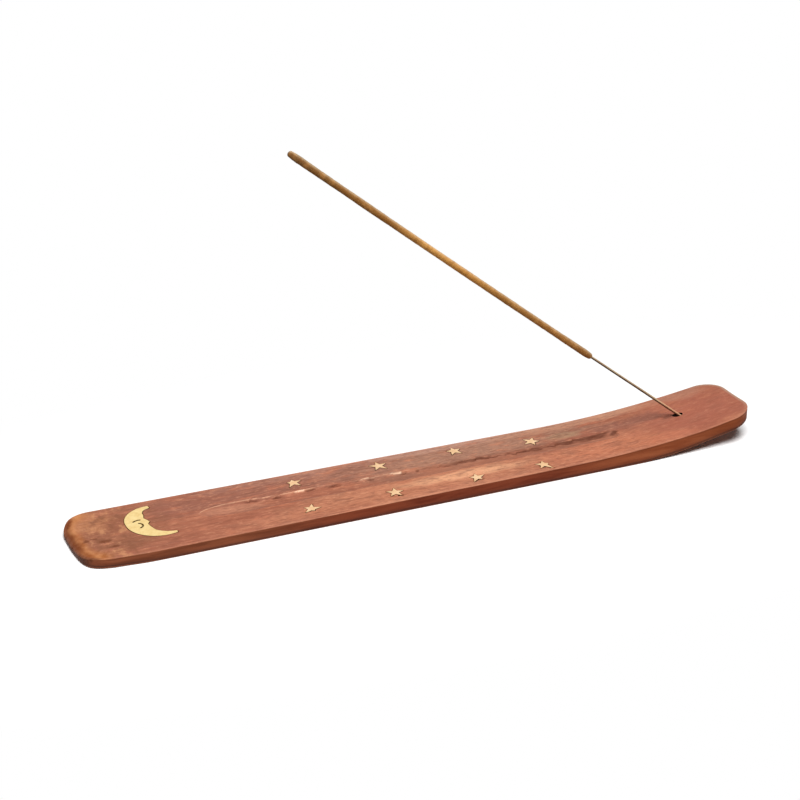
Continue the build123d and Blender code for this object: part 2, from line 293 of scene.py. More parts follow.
def groove_section(along):
    """Depth, section radius and half width of the groove at a distance along it."""
    radii = [(w * w / 4 + d * d) / (2 * d) for w, d in zip(GROOVE_WIDTHS, GROOVE_DEPTHS)]
    middle = np.clip(along, GROOVE_FADES[0], GROOVE_LENGTH - GROOVE_FADES[1])
    floor_share = (middle - GROOVE_FADES[0]) / (GROOVE_LENGTH - sum(GROOVE_FADES))
    floor_rise = bend_rise(GROOVE_END) - GROOVE_DEPTHS[1] + GROOVE_DEPTHS[0]
    floor = -GROOVE_DEPTHS[0] + floor_share * floor_rise
    for fade, depth, past in zip(GROOVE_FADES, GROOVE_DEPTHS, (along, GROOVE_LENGTH - along)):
        floor = floor + eased(np.clip(past, 0, None), fade, depth)
    depth = np.clip(bend_rise(GROOVE_START + along) - floor, 0, None)
    depth = np.where((along > 0) & (along < GROOVE_LENGTH), depth, 0)
    radius = radii[0] + (radii[1] - radii[0]) * np.clip(along / GROOVE_LENGTH, 0, 1)
    return depth, radius, np.sqrt(np.clip(radius**2 - (radius - depth) ** 2, 0, None))


def far_lip_at(along, half_width):
    """How far across the groove its far lip is, torn in slow waves and long broken steps."""
    phase = along / SPLINTER_PITCH + ripples(along, LIP_BREAKS)
    wander = ripples(along, *LIP_WAVES) + TORN_WANDER * (0.5 - phase % 1)
    return half_width + np.where(half_width > LIP_TORN_FROM, plateau(*TORN_RUN, along) * wander, 0)


def lip_gap(points):
    """Distance across the groove to its far lip."""
    along, across = groove_frame(*points.T)
    return np.abs(far_lip_at(along, groove_section(along)[2]) - across)


def pit_share(along, inside):
    """Depth in the pits and the ragged crack below the far lip, from 0 to 1."""
    share = np.zeros_like(inside)
    for middle, length, width in PITS:
        run = (along - middle) / (length / 2)
        side = (inside - PIT_INSIDE - ripples(along, PIT_WAVES)) / (width / 2)
        share = np.maximum(share, 1 - step(PIT_FLOOR, 1.0, np.hypot(run, side)))
    away = np.abs(inside - CRACK_INSIDE - ripples(along, *CRACK_WAVES))
    width = np.maximum(CRACK_WIDTH * (1 + ripples(along, *CRACK_SWELLS)), CRACK_LEAST)
    crack = 1 - step(CRACK_FLOOR, 1.0, away / width)
    return np.maximum(share, crack * plateau(*CRACK_RUN, along))


def groove_depth(x, y):
    """Depth of the groove, and how near a place is to its far lip and its pits."""
    along, across = groove_frame(x, y)
    depth, radius, half_width = groove_section(along)
    far_lip = far_lip_at(along, half_width)
    stretched = np.where(across > 0, across * half_width / np.maximum(far_lip, LIP_LEAST), across)
    cut = np.clip(np.sqrt(np.clip(radius**2 - stretched**2, 0, None)) - (radius - depth), 0, None)
    inside = far_lip - across
    torn = TORN_STEP * plateau(*TORN_RUN, along) * plateau(*TORN_STEP_RUN, inside)
    striped = sum(height * ripple(seed, along / length, across * waves)
                  for seed, height, length, waves in GROOVE_STRIPES)
    torn = np.where((cut > TORN_DEPTH) & (across > 0), torn, 0)
    cut = cut + torn + step(*STRIPED_DEPTHS, cut) * striped
    fade = step(*LIP_FADE, half_width)
    lip = np.exp(-((inside / LIP_WIDTH) ** 2)) * fade
    pit = pit_share(along + GROOVE_START, inside) * fade
    return np.clip(cut + PIT_DEPTH * pit, 0, None), lip, pit


def splinter_rise(x, y):
    """Height of the lifted splinters on the groove's far lip."""
    rise = np.zeros_like(x)
    for along, across, length in SPLINTERS:
        run = (x - FOOT_X - along) / length
        waver = SPLINTER_WAVER * ripple(16, run * SPLINTER_WAVES + along)
        side = (y - across - waver) / SPLINTER_WIDTH
        rise += SPLINTER_RISE * np.exp(-(side**2)) * plateau(*SPLINTER_RUN, run)
    return rise


def inlay_outline(name):
    """The outer edge of an inlay's upper face, from its CAD node."""
    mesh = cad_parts[name].data
    points = np.array([vertex.co for vertex in mesh.vertices]) / MM
    corners = [tuple(np.round(point[:2], 3)) for point in points]
    places = dict(zip(corners, points[:, :2]))
    gaps = np.abs(points[:, 2] - top_height(points[:, 0]))
    edges = {}
    for face in mesh.polygons:
        if face.normal.z > UPRIGHT and gaps[list(face.vertices)].max() < ON_TOP:
            ring = [corners[vertex] for vertex in face.vertices]
            edges.update(dict.fromkeys(zip(ring, ring[1:] + ring[:1])))
    after = {start: end for start, end in edges if (end, start) not in edges}
    loops = []
    while after:
        start, here = after.popitem()
        loop = [places[start]]
        while here != start:
            loop.append(places[here])
            here = after.pop(here)
        loops.append(np.array(loop))
    return max(loops, key=lambda loop: np.ptp(loop, axis=0).sum())


def signed_distance(points, ring):
    """Distance from points to a closed ring, below 0 inside it."""
    ends = np.roll(ring, -1, axis=0)
    edge = ends - ring
    gap = points[:, None] - ring
    share = np.clip((gap * edge).sum(2) / (edge**2).sum(1), 0, 1)
    reach = np.linalg.norm(gap - share[..., None] * edge, axis=2).min(1)
    level = points[:, None, 1]
    crosses = (ring[:, 1] > level) != (ends[:, 1] > level)
    slope = edge[:, 0] / np.where(edge[:, 1] == 0, 1, edge[:, 1])
    meets = ring[:, 0] + (level - ring[:, 1]) * slope
    inside = (crosses & (points[:, None, 0] < meets)).sum(1) % 2 == 1
    return np.where(inside, -reach, reach)


INLAY_RINGS = {name: inlay_outline(name) for name in INLAYS}


def inlay_distance(points):
    """Distance to the nearest inlay's edge, below 0 on the inlay."""
    nearest = np.full(len(points), np.inf)
    for ring in INLAY_RINGS.values():
        close = ((points > ring.min(0) - INLAY_NEAR) & (points < ring.max(0) + INLAY_NEAR)).all(1)
        nearest[close] = np.minimum(nearest[close], signed_distance(points[close], ring))
    return nearest


def moat_reach(points):
    """Reach of the hand-cut recess beyond each inlay."""
    return MOAT_EDGE + MOAT_WANDER * ripple(17, *(points * MOAT_WAVES).T)


def recess_depth(points, distance):
    """Depth of the inlays' pockets and of the recess round them."""
    moat = MOAT_DEPTH * (1 - step(0, 1, (distance - moat_reach(points)) / MOAT_SLOPE))
    return np.where(distance < POCKET_EDGE, POCKET_DEPTH, moat)


HOLE_PLACE = HOLE_X, 0, float(top_height(HOLE_X))


def hole_mouth():
    """The ring where the slanted hole meets the top, worn on the stick's side."""
    axis, start = np.array(STICK_DIRECTION), np.array(HOLE_PLACE)
    across, over = np.array((0, 1.0, 0)), np.array((axis[2], 0, -axis[0]))
    ring = []
    for turn in np.linspace(0, 2 * pi, HOLE_SIDES, endpoint=False):
        wander = HOLE_WANDER * (1 + float(ripple(19, turn * HOLE_WAVES / pi)))
        reach = HOLE_RADIUS + HOLE_WORN * max(-sin(turn), 0) + wander
        point = start + reach * (cos(turn) * across + sin(turn) * over)
        for _ in range(12):
            point = point - axis * (point[2] - top_height(point[0])) / axis[2]
        ring.append(point[:2])
    return np.array(ring)


# Board mesh


def spread(low, high, pitch):
    """Points over a box in rows, every other row shifted by half a step."""
    rows = np.arange(low[1], high[1], pitch[1])
    points = []
    for count, row in enumerate(rows):
        columns = np.arange(low[0] + (count % 2) * pitch[0] / 2, high[0], pitch[0])
        points.append(np.stack([columns, np.full(len(columns), row)], 1))
    return np.vstack(points)


def board_points(pitch):
    """Points over the box of the board's plan."""
    return spread((FOOT_X, -FOOT_HALF_WIDTH), (TIP_X, FOOT_HALF_WIDTH), pitch)


def on_board(points):
    """Whether plan points are on the board."""
    return signed_distance(points, board_outline(0, COARSE_PITCH)) < 0


def edge_distance(points):
    """Distance in from the board's edge."""
    ring = board_outline(0, FINE_PITCH)
    tree = kdtree.KDTree(len(ring))
    for count, (x, y) in enumerate(ring):
        tree.insert((x, y, 0), count)
    tree.balance()
    return np.array([tree.find((x, y, 0))[2] for x, y in points])


def groove_points():
    """Plan points of the groove, and finer ones along its far lip."""
    low = FOOT_X + GROOVE_START - GROOVE_MARGIN, -GROOVE_REACH
    high = FOOT_X + GROOVE_END + GROOVE_MARGIN, GROOVE_REACH
    groove, lip = spread(low, high, GROOVE_PITCH), spread(low, high, LIP_PITCH)
    groove = groove[np.abs(groove_frame(*groove.T)[1]) < GROOVE_BAND]
    return groove[lip_gap(groove) > LIP_BAND], lip[lip_gap(lip) < LIP_BAND - LIP_PITCH[1]]


def inlay_points():
    """Fine plan points along the edge of each inlay."""
    nets = []
    for ring in INLAY_RINGS.values():
        near = spread(ring.min(0) - INLAY_MARGIN, ring.max(0) + INLAY_MARGIN, INLAY_PITCH)
        nets.append(near[np.abs(signed_distance(near, ring) - INLAY_MIDDLE) < INLAY_BAND])
    return np.vstack(nets)


def top_points(mouth):
    """Plan points of the top with their insets: edge rings, the hole's mouth, the rest."""
    rings = [board_outline(inset) for inset in RING_INSETS]
    body = board_points(BODY_PITCH)
    along, across = groove_frame(*body.T)
    in_groove = (along > -GROOVE_MARGIN) & (along < GROOVE_RUN + GROOVE_MARGIN)
    nets = [body[~(in_groove & (np.abs(across) < GROOVE_BAND))], *groove_points()]
    nets = [net[np.abs(inlay_distance(net) - INLAY_MIDDLE) > INLAY_CLEAR] for net in nets]
    inner = np.vstack([*nets, inlay_points()])
    distance = edge_distance(inner)
    inside = on_board(inner) & (distance > RING_INSETS[-1] + RING_GAP)
    inside &= np.abs(signed_distance(inner, mouth)) > MOUTH_GAP
    points = np.vstack([*rings, mouth, inner[inside]])
    ring_insets = np.repeat(RING_INSETS, len(rings[0]))
    insets = np.concatenate([ring_insets, np.full(len(mouth), MIDDLE_INSET), distance[inside]])
    return points, insets, len(rings[0])


def triangulate(points, rings):
    """Triangles over plan points that keep rings of edges, with each point's source."""
    edges = [pair for ring in rings for pair in zip(ring, ring[1:] + ring[:1])]
    flat, _, faces, origin, _, _ = delaunay_2d_cdt([Vector(p) for p in points], edges, [], 1, MERGE)
    return np.array([tuple(p) for p in flat]), faces, np.array([source[0] for source in origin])


def bands(rings):
    """Faces between rings of points' numbers, from each to the next."""
    after = [*range(1, len(rings[0])), 0]
    return [(upper[a], upper[b], lower[b], lower[a])
            for upper, lower in zip(rings, rings[1:]) for a, b in enumerate(after)]


def top_surface(plan, inset):
    """The top's points, with its groove and recesses, and its marks."""
    x, y = plan.T
    cut, lip, pit = groove_depth(x, y)
    splinter = splinter_rise(x, y)
    near = inlay_distance(plan)
    uneven = UNEVEN * ripple(21, x / UNEVEN_LENGTH, y / UNEVEN_WIDTH) * step(*UNEVEN_INSETS, inset)
    height = top_height(x) + tip_lift(x, y) - rim_drop(x, y, inset)
    height -= eased(x - FOOT_X, FOOT_EASE_RUN, FOOT_EASE_DROP)
    height += uneven * step(*UNEVEN_PAST_INLAY, near) - cut - recess_depth(plan, near)
    height += splinter * step(*SPLINTER_ROOTS, lip + splinter) * (cut < SPLINTER_DEEPEST)
    # Dark filler round the inlays, deepened as painted shade
    moat = (1 - step(0.0, MOAT_FILL_AND_SHADE_REACH, near - moat_reach(plan))) * (near > -MOAT_INSIDE)
    marks = {
        "groove": cut, "lip": lip, "pit": pit, "splinter": splinter / SPLINTER_RISE, "moat": moat,
        "inset": np.minimum(inset, MIDDLE_INSET),
    }
    return np.stack([x, y, height], 1), marks


def wall_surface(top, edge):
    """Points and faces of the wall, and its lowest ring."""
    x, y, high = top[edge].T
    low = under_height(x) + under_round(x)
    points = np.vstack([np.stack([x, y, high + (low - high) * share], 1) for share in WALL_SHARES])
    numbers = np.arange(len(top), len(top) + len(points)).reshape(len(WALL_SHARES), -1)
    rings = [edge, *numbers.tolist()]
    return points, bands(rings), rings[-1]


def under_surface(outline, low_ring, start):
    """Points, numbered from a start, and faces of the underside."""
    edge_count = len(outline)
    body = board_points(UNDER_PITCH)
    body = body[on_board(body) & (edge_distance(body) > UNDER_GAP)]
    plan = np.vstack([outline, *[board_outline(inset) for inset in UNDER_INSETS], body])
    insets = np.repeat((0, *UNDER_INSETS, MIDDLE_INSET), [edge_count] * (len(UNDER_INSETS) + 1) + [len(body)])
    _, faces, sources = triangulate(plan, [list(range(edge_count))])
    numbers, points = [], []
    for source in sources:
        if source < edge_count:
            numbers.append(low_ring[source])
        else:
            numbers.append(start + len(points))
            x, y = plan[source]
            points.append((x, y, float(under_height(x) + rounded(insets[source], under_round(x)))))
    return np.array(points), [tuple(numbers[vertex] for vertex in reversed(face)) for face in faces]


def hole_surface(top, rim, start):
    """Points and faces of the stick hole: its mouth carried down the stick's line."""
    axis = np.array(STICK_DIRECTION)
    seat = np.array(HOLE_PLACE) - HOLE_DEPTH * axis
    mouth = top[rim]
    down = (mouth - seat) @ axis
    points = np.vstack([mouth - HOLE_SHADE_DEPTH * axis, mouth - down[:, None] * axis])
    rings = [rim, *np.arange(start, start + len(points)).reshape(2, -1).tolist()]
    return points, [(b, a, d, c) for a, b, c, d in bands(rings)] + [tuple(rings[-1])]


def build_board():
    """The board as one closed mesh."""
    mouth = hole_mouth()
    plan, insets, edge_count = top_points(mouth)
    rim_start = edge_count * len(RING_INSETS)
    rings = list(range(edge_count)), list(range(rim_start, rim_start + len(mouth)))
    plan, faces, sources = triangulate(plan, rings)
    number = {source: count for count, source in enumerate(sources)}
    edge, rim = [[number[source] for source in ring] for ring in rings]
    centres = np.array([plan[list(face)].mean(0) for face in faces])
    in_hole = signed_distance(centres, mouth) < 0
    faces = [tuple(face) for face, dropped in zip(faces, in_hole) if not dropped]

    top, marks = top_surface(plan, insets[sources])
    wall, wall_faces, low_ring = wall_surface(top, edge)
    under, under_faces = under_surface(plan[edge], low_ring, len(top) + len(wall))
    hole, hole_faces = hole_surface(top, rim, len(top) + len(wall) + len(under))

    parts = top, wall, under, hole
    counts = [len(part) for part in parts]
    marks["wall"] = np.append(np.zeros(len(top)), np.repeat(WALL_SHARES, edge_count))
    marks["under"] = np.repeat((0.0, 0.0, 1.0, 1.0), counts)
    # The hole's walls are marked for painted shade
    marks["hole_shade"] = np.repeat((0.0, 0.0, 0.0, 1.0), counts)
    faces += wall_faces + under_faces + hole_faces
    return make_piece("board_wood", np.vstack(parts), faces, marks, BOARD_CREASE)


def add_object(name, data):
    """A new object in the scene."""
    made = bpy.data.objects.new(name, data)
    bpy.context.scene.collection.objects.link(made)
    return made


def make_piece(name, points, faces, marks, crease):
    """A mesh object from points in millimetres, with marks as point attributes, 0 past their end."""
    mesh = bpy.data.meshes.new(name)
    mesh.from_pydata([tuple(point) for point in np.asarray(points) * MM], [], faces)
    for mark, values in marks.items():
        values = np.pad(np.asarray(values, np.float32), (0, len(points) - len(values)))
        mesh.attributes.new(mark, "FLOAT", "POINT").data.foreach_set("value", values)
    mesh.shade_smooth()
    mesh.set_sharp_from_angle(angle=radians(crease))
    mesh.update()
    return add_object(name, mesh)


# Incense stick


def stick_point(along):
    """A point on the stick's sagging line, at a distance from the hole's mouth."""
    share = min(max(along / (BARE_LENGTH + PASTE_LENGTH), 0), 1)
    droop = Vector((-sin(STICK_ANGLE), 0, -cos(STICK_ANGLE)))
    return Vector(HOLE_PLACE) + STICK_DIRECTION * along + droop * (4 * STICK_SAG * share * (1 - share))


def build_rod(name, start, places, sides, shape):
    """A closed rod on the stick's line, whose shape gives the radius and marks at a place and its turns."""
    across, over = Vector((0, 1, 0)), Vector((sin(STICK_ANGLE), 0, cos(STICK_ANGLE)))
    turns = np.linspace(0, 2 * pi, sides, endpoint=False)
    points, marks = [], {}
    for along in places:
        centre = stick_point(start + along)
        reaches, ring_marks = shape(along, turns)
        for turn, reach in zip(turns, reaches):
            points.append(tuple(centre + (across * cos(turn) + over * sin(turn)) * reach))
        for mark, values in ring_marks.items():
            marks.setdefault(mark, []).extend(values)
    rings = np.arange(len(points)).reshape(-1, sides).tolist()
    faces = [*bands(rings), tuple(reversed(rings[0])), tuple(rings[-1])]
    return make_piece(name, points, faces, marks, STICK_CREASE)


def paste_radius(inside):
    """Plain radius of the paste by its distance from an end: thicker there, with a blunt point."""
    plain = np.interp(inside, (0, PASTE_FLARE), (PASTE_END_RADIUS, PASTE_RADIUS))
    taper = PASTE_TAPER * max(1 - inside / PASTE_TAPER_RUN, 0) ** 2
    return max(plain - taper - rounded(inside, PASTE_ROUND), PASTE_LEAST)


def paste_shape(along, turns):
    """Radius and marks of the uneven, grainy paste."""
    inside, around = min(along, PASTE_LENGTH - along), turns * PASTE_RADIUS
    coarse, fine = ripple(31, along / 0.9, around / 0.9), ripple(32, along / 0.34, around / 0.38)
    rough = PASTE_WAVE * ripple(33, along / 7.0) + PASTE_COARSE * coarse + PASTE_FINE * fine
    reach = paste_radius(inside) + step(0, PASTE_SKIN_RUN, inside) * rough
    # The upper side, marked for a painted highlight
    powder = step(*LIT_TOP_EDGE, np.sin(turns) + 0.12 * coarse)
    return reach, {"grain": 0.5 + 0.3 * coarse + 0.35 * fine, "powder": powder}


def build_paste():
    """The rolled paste."""
    end = 1 - np.cos(np.linspace(0, pi / 2, PASTE_END_RINGS))
    middle = np.arange(1.2, PASTE_LENGTH - 1.1, PASTE_PITCH)
    places = np.concatenate([end, middle, PASTE_LENGTH - end[::-1]])
    return build_rod("incense_paste_rod", BARE_LENGTH, places, PASTE_SIDES, paste_shape)


def core_shape(along, turns):
    """Radius and marks of the split bamboo, with fibre ridges along it."""
    fibre = ripple(41, turns * FIBRES / (2 * pi), along / FIBRE_LENGTH)
    ridges = 0.5 * fibre + 0.3 * np.cos(4 * turns + 0.4)
    plain = CORE_RADIUS + CORE_SWELL - CORE_TAPER * step(0, BARE_LENGTH, along)
    reach = plain + CORE_RIDGE * ridges + CORE_WAVE * ripple(42, along / 3.0)
    # The brown outer layer lies on the lower side, where it also serves as painted shade
    skin = step(*SHADED_SKIN_EDGE, SHADED_SKIN_WANDER * fibre - np.sin(turns))
    return reach, {"fibre": 0.5 + 0.5 * fibre, "skin": skin}


def build_core():
    """The bamboo core, with fewer points where the paste hides it."""
    bare = np.arange(-HOLE_DEPTH, BARE_LENGTH + 3, 0.6)
    hidden = np.linspace(BARE_LENGTH + 4, BARE_LENGTH + PASTE_LENGTH - PASTE_CAP, 60)
    return build_rod("bamboo_splint", 0.0, np.concatenate([bare, hidden]), CORE_SIDES, core_shape)


# Materials


def shade(colour):
    """A colour for a shader: a socket, or red, green and blue to 255 as an eye sees them."""
    if isinstance(colour, bpy.types.NodeSocket):
        return colour
    shares = [value / 255 for value in colour]
    linear = [s / 12.92 if s <= 0.04045 else ((s + 0.055) / 1.055) ** 2.4 for s in shares]
    return (*linear, 1.0)


SURFACE_NOISE = 0.3, 0.7


class Tree:
    """The node tree of a material or of the world, with one short call for each kind of node."""

    def __init__(self, owner):
        owner.use_nodes = True
        self.owner, self.nodes, self.links = owner, owner.node_tree.nodes, owner.node_tree.links
        self.nodes.clear()

    def add(self, kind, inputs, output=0, **settings):
        """Adds a node, and gives one of its outputs."""
        node = self.nodes.new("ShaderNode" + kind)
        for name, value in settings.items():
            setattr(node, name, value)
        for name, value in inputs.items():
            if isinstance(value, bpy.types.NodeSocket):
                self.links.new(value, node.inputs[name])
            else:
                node.inputs[name].default_value = value
        return node.outputs[output]

    def finish(self, shader, kind="Material"):
        """Ends the tree with a shader, and gives the tree's owner."""
        self.links.new(shader, self.nodes.new("ShaderNodeOutput" + kind).inputs["Surface"])
        return self.owner

    def surface(self, colour, noise, rough, relief, bump, more):
        """Ends a material: its roughness goes with a noise, its bumps (strength, depth) with a relief."""
        strength, depth = bump
        inputs = {"Base Color": colour, "Roughness": self.remap(noise, *SURFACE_NOISE, *rough), **more}
        inputs["Normal"] = self.add("Bump", {"Strength": strength, "Distance": depth, "Height": relief})
        return self.finish(self.add("BsdfPrincipled", inputs))

    def locate(self):
        """Sets where a point is on its object, and how far along the board, across it and up, in mm."""
        self.place = self.vector("MULTIPLY", self.add("TexCoord", {}, "Object"), (1 / MM,) * 3)
        parts = self.add("SeparateXYZ", {0: self.place}).node.outputs
        self.along = self.math("SUBTRACT", parts["X"], FOOT_X)
        self.across, self.height = parts["Y"], parts["Z"]

    def math(self, operation, a, b):
        return self.add("Math", {0: a, 1: b}, operation=operation)

    def times(self, product, *factors):
        for factor in factors:
            product = self.math("MULTIPLY", product, factor)
        return product

    def swing(self, noise, strength):
        """A noise as a shift either way."""
        return self.times(self.math("SUBTRACT", noise, 0.5), strength)

    def vector(self, operation, a, b):
        return self.add("VectorMath", {0: a, 1: b}, operation=operation)

    def length(self, vector):
        return self.add("VectorMath", {0: vector}, "Value", operation="LENGTH")

    def remap(self, value, low, high, to_low=0.0, to_high=1.0):
        sockets = {"Value": value, "From Min": low, "From Max": high, "To Min": to_low, "To Max": to_high}
        return self.add("MapRange", sockets, interpolation_type="SMOOTHSTEP")

    def noise(self, vector, scale, detail=3.0, roughness=0.55):
        sockets = {"Scale": 1.0, "Detail": detail, "Roughness": roughness}
        return self.add("TexNoise", {"Vector": self.vector("MULTIPLY", vector, scale), **sockets}, "Fac")

    def mark(self, name):
        return self.add("Attribute", {}, "Fac", attribute_name=name)

    def zone(self, along, across, length, width, wobble=None):
        """A soft patch on the board: 1 at its middle, 0 beyond its reach along and across."""
        gap = self.vector("SUBTRACT", self.place, (along + FOOT_X, across, 0))
        away = self.length(self.vector("MULTIPLY", gap, (1 / length, 1 / width, 0)))
        if wobble is not None:
            away = self.math("ADD", away, wobble)
        return self.remap(away, 1.0, 0.35)

    def ramp(self, value, stops):
        colour = self.add("ValToRGB", {"Fac": value}, "Color")
        elements = colour.node.color_ramp.elements
        while len(elements) < len(stops):
            elements.new(0.5)
        for element, (position, paint) in zip(elements, stops):
            element.position, element.color = position, shade(paint)
        return colour

    def mix(self, share, a, b):
        return self.add("Mix", {0: share, 6: shade(a), 7: shade(b)}, 2, data_type="RGBA")

    def tint(self, colour, paint, *shares):
        """A colour with paint over it, as strong as its shares multiplied."""
        return self.mix(self.times(*shares), colour, paint)

    def layers(self, colour, values, rows, *shares):
        """Paint by rows of a value's name, where it is none and most, how much that is, and a colour."""
        for name, none, most, strength, paint in rows:
            colour = self.tint(colour, paint, self.remap(values[name], none, most, 0.0, strength), *shares)
        return colour

    def patches(self, colour, rows, wobble):
        """Soft patches by rows of along, across, length, width, strength and a colour."""
        for *zone, strength, paint in rows:
            colour = self.tint(colour, paint, self.zone(*zone, wobble), strength)
        return colour


def material_tree(name):
    """The node tree of a new material, which knows where a point is on its object."""
    tree = Tree(bpy.data.materials.new(name))
    tree.locate()
    return tree


# Wood: its noises with their scale along and across, the slow figure's colours, and layers and patches,
# whose rows are explained in Tree
GRAIN_SCALES = {
    "figure": (0.022, 0.15), "mottle": (0.1, 0.26), "streak": (0.05, 0.6), "fibre": (0.22, 1.7),
    "blotch": (0.28, 0.17), "speck": (0.42, 1.1), "pore": (0.19, 4.2),
}
GRAIN_DRIFT, GRAIN_DRIFT_SCALE = 7, (0.011, 0.05, 0.05)
FIGURE_TONES = (
    (0.3, (143, 85, 66)), (0.45, (158, 96, 74)), (0.58, (169, 106, 81)), (0.72, (182, 118, 90)),
)
GRAIN_LAYERS = (
    ("mottle", 0.5, 0.32, 0.36, (128, 82, 65)), ("mottle", 0.54, 0.7, 0.34, (198, 121, 90)),
    ("streak", 0.5, 0.3, 0.2, (120, 68, 53)), ("streak", 0.56, 0.74, 0.16, (212, 144, 108)),
    ("fibre", 0.48, 0.3, 0.32, (110, 64, 49)), ("fibre", 0.55, 0.7, 0.26, (218, 152, 118)),
    ("speck", 0.48, 0.32, 0.32, (120, 74, 57)), ("speck", 0.54, 0.68, 0.26, (218, 154, 119)),
)
FOOT_LAYERS = ("blotch", 0.52, 0.34, 0.7, (126, 78, 55)), ("blotch", 0.52, 0.7, 0.6, (206, 146, 104))
WOOD_PATCHES = (
    (146, 9, 75, 9.5, 0.85, (157, 117, 97)), (160, 15.5, 80, 3.5, 0.75, (188, 145, 126)),
    (192, 14, 46, 4.5, 0.75, (196, 143, 115)), (76, 14, 36, 3.8, 0.75, (170, 125, 108)),
    (58, 9.5, 50, 10, 0.75, (142, 91, 75)), (128, -8, 72, 9.5, 0.85, (190, 125, 94)),
    (139, -7.7, 31, 4, 0.8, (230, 169, 130)), (98, -13, 46, 5, 0.6, (184, 118, 88)),
    (125, -16.5, 60, 3.2, 0.5, (198, 132, 102)), (46, -7, 24, 10, 0.55, (155, 92, 69)),
    (195, -9, 34, 9, 0.8, (191, 118, 87)), (236, -2, 30, 20, 0.85, (162, 94, 74)),
    # The first patch on the next line, at 212 along, is a painted shadow of the incense stick
    (212, 4.5, 22, 4.5, 0.8, (144, 92, 76)), (186, 6.5, 9, 3.2, 0.7, (162, 129, 100)),
    (14, 0, 25, 24, 0.85, (145, 91, 67)), (7, 11, 13, 11, 0.65, (182, 122, 84)),
    (9, -13.5, 9, 5, 0.4, (180, 120, 85)), (57, 1.2, 15, 3.2, 0.7, (190, 131, 105)),
    (118, 1.2, 14, 3.4, 0.85, (138, 95, 78)), (105, 10, 26, 8, 0.45, (146, 99, 83)),
    (18, -8, 12, 5, 0.4, (138, 88, 64)), (178, 0.8, 14, 3, 0.45, (112, 66, 48)),
    (238, 13, 14, 5, 0.6, (174, 124, 102)), (218, -13, 15, 4.5, 0.5, (198, 119, 88)),
)
# Painted shade in the groove: along its crack, and in its steep tip end
GROOVE_SHADE_PATCHES = (194, 0.9, 11, 1.5, 0.6, (94, 52, 37)), (203.4, 0.6, 2.2, 1.5, 0.8, (94, 52, 37))
FOOT_FLECK_ZONES = (5.3, -2.6, 1.9, 1.3), (7.3, -2, 1.5, 0.9), (11.2, -5.1, 2.3, 1.3), (12.9, -9.5, 1.8, 1.2)
FOOT_FLECKS = [(*zone, 0.75, (104, 54, 30)) for zone in FOOT_FLECK_ZONES]
# Painted shadow of the incense stick on the top beside the hole, in the rows of the patches above
STICK_SHADOW_PATCHES = ((226.3, 0.2, 6.2, 2.3, 0.55, (78, 44, 33)),)
# Wall layers: darker low down, a painted contact shadow along the bottom, and painted shade on the foot end's
# wall
WALL_SHADE_LAYERS = (
    ("wall", 0.45, 1, 0.42, (88, 48, 38)), ("wall", 0.78, 0.95, 0.6, (58, 36, 31)),
    ("along", 4, 1, 0.7, (70, 38, 26)),
)

# Wood: single colours, pairs from dark to light or from foot to tip, and the zone of the whole lip
# The far lip's pale tone, by the foot, and the splinters' tone are torn fibres with a painted highlight; the
# lip's dark tone, by the tip, is dirt with painted shade
GROOVE_TONE, LIP_HIGHLIGHT_AND_SHADE_TONES = (150, 100, 79), ((228, 176, 142), (112, 74, 57))
# The pits' dark tone is dirt in the torn pits, with painted shade of the groove's far wall
PIT_DIRT_AND_SHADE_TONE, SPLINTER_HIGHLIGHT_TONE, WHOLE_LIP = (84, 38, 21), (246, 206, 174), (96, 4, 11, 8)
# The foot rim's dark tone is painted shade
SANDED_TONES, SCORCH_TONE, FOOT_RIM_SHADE_TONE = ((166, 96, 46), (196, 130, 80)), (100, 41, 10), (84, 36, 14)
# Light rims: wear with a painted highlight along the edges, and end grain with a painted highlight at the tip
WORN_RIM_HIGHLIGHT_TONE, TIP_RIM_HIGHLIGHT_TONE = (218, 152, 120), (174, 140, 119)
WALL_TONES = ((112, 59, 36), (144, 80, 52)), ((102, 41, 22), (130, 61, 37)), ((134, 66, 36), (161, 88, 53))
WALL_END_TONE = (106, 47, 18)
# The under-rim tone is a painted shadow at the top of the wall by the tip
RIM_SHADOW_TONE, UNDER_TONES = (84, 32, 10), ((134, 76, 52), (170, 104, 76))
# The hole's near-black tone is painted shade
PORE_TONE, MOAT_FILL_AND_SHADE_TONE, HOLE_SHADE_TONE = (100, 56, 40), (92, 62, 24), (34, 18, 12)


def wood_grain(tree):
    """Noises stretched along the board, which drift a little across it."""
    wander = tree.noise(tree.place, GRAIN_DRIFT_SCALE, detail=1.0)
    drift = tree.add("CombineXYZ", {"Y": tree.times(wander, GRAIN_DRIFT)})
    bent = tree.vector("ADD", tree.place, drift)
    return {
        name: tree.noise(bent, (along, across, across), detail=4.0, roughness=0.6)
        for name, (along, across) in GRAIN_SCALES.items()
    }


def top_colour(tree, grain):
    """The top: slow figure, soft patches, then clouds, streaks, fibres and a mottled foot."""
    colour = tree.ramp(grain["figure"], FIGURE_TONES)
    colour = tree.patches(colour, WOOD_PATCHES, tree.swing(grain["mottle"], 1.6))
    by_ends = tree.remap(tree.along, 196, 226, 1.35, 0.6), tree.remap(tree.along, 25, 75, 0.65, 1.0)
    colour = tree.layers(colour, grain, GRAIN_LAYERS, tree.times(*by_ends))
    return tree.layers(colour, grain, FOOT_LAYERS, tree.remap(tree.along, 30, 14))


